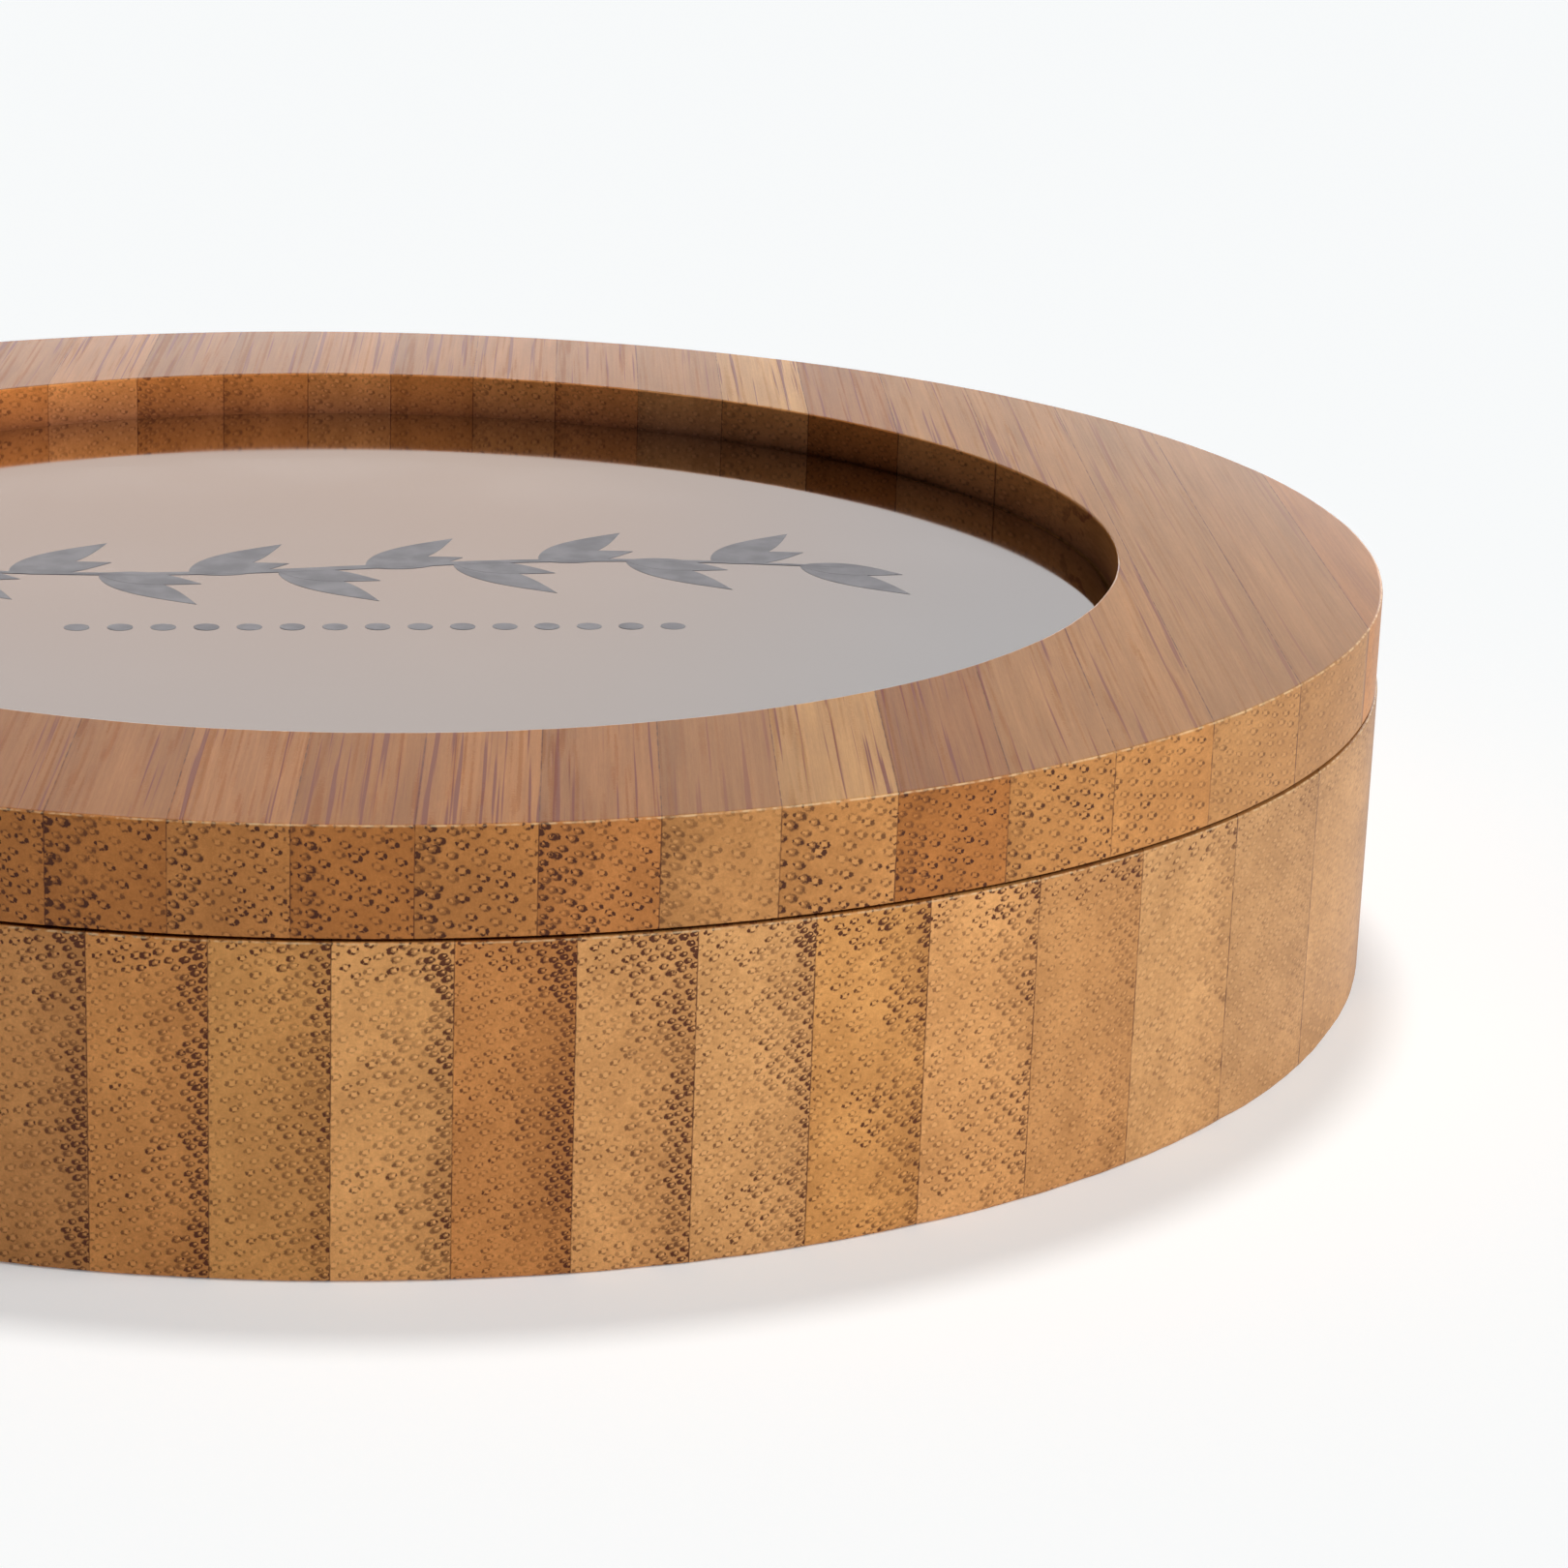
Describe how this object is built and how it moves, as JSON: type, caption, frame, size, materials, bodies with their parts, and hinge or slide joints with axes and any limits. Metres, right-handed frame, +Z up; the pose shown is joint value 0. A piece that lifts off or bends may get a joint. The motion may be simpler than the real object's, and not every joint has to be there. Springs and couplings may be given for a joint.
{
  "type": "round lidded bamboo case",
  "caption": "Round case turned from laminated bamboo: a flat-bottomed base with a shallow pocket, and a lift-off lid with a sunk mirror in its top.",
  "frame": {"origin": "centre of the base's underside, on the surface that the case rests on", "axes": "+Z up along the case's axis; +Y along the bamboo fibres; +X across the strips"},
  "size_m": [0.1002, 0.1002, 0.019],
  "materials": {
    "bamboo_light": "light bamboo, fine satin lacquer",
    "bamboo_honey": "honey bamboo, fine satin lacquer",
    "bamboo_brown": "steamed brown bamboo, fine satin lacquer",
    "mirror": "polished, with a small grey print",
    "adhesive": "foam tape"
  },
  "bodies": {
    "base": {"base_strip_01": "bamboo_honey", "base_strip_02": "bamboo_light", "base_strip_03": "bamboo_honey", "base_strip_04": "bamboo_brown", "base_strip_05": "bamboo_honey", "base_strip_06": "bamboo_light", "base_strip_07": "bamboo_brown", "base_strip_08": "bamboo_honey", "base_strip_09": "bamboo_brown", "base_strip_10": "bamboo_honey", "base_strip_11": "bamboo_honey", "base_strip_12": "bamboo_light", "base_strip_13": "bamboo_brown", "base_strip_14": "bamboo_light", "base_strip_15": "bamboo_light", "base_strip_16": "bamboo_honey", "base_strip_17": "bamboo_light", "base_strip_18": "bamboo_honey", "base_strip_19": "bamboo_light", "base_strip_20": "bamboo_honey", "base_strip_21": "bamboo_light", "base_strip_22": "bamboo_honey"},
    "lid": {"lid_strip_01": "bamboo_honey", "lid_strip_02": "bamboo_light", "lid_strip_03": "bamboo_honey", "lid_strip_04": "bamboo_brown", "lid_strip_05": "bamboo_light", "lid_strip_06": "bamboo_honey", "lid_strip_07": "bamboo_brown", "lid_strip_08": "bamboo_honey", "lid_strip_09": "bamboo_brown", "lid_strip_10": "bamboo_honey", "lid_strip_11": "bamboo_honey", "lid_strip_12": "bamboo_brown", "lid_strip_13": "bamboo_honey", "lid_strip_14": "bamboo_brown", "lid_strip_15": "bamboo_light", "lid_strip_16": "bamboo_honey", "lid_strip_17": "bamboo_brown", "lid_strip_18": "bamboo_light", "lid_strip_19": "bamboo_light", "lid_strip_20": "bamboo_honey", "lid_strip_21": "bamboo_light", "lid_strip_22": "bamboo_honey", "mirror_adhesive": "adhesive", "mirror": "mirror"}
  },
  "joints": [
    {"name": "lid_lift", "type": "slide", "parent": "base", "child": "lid", "axis": [0, 0, 1], "range_m": [0, 0.06]}
  ]
}
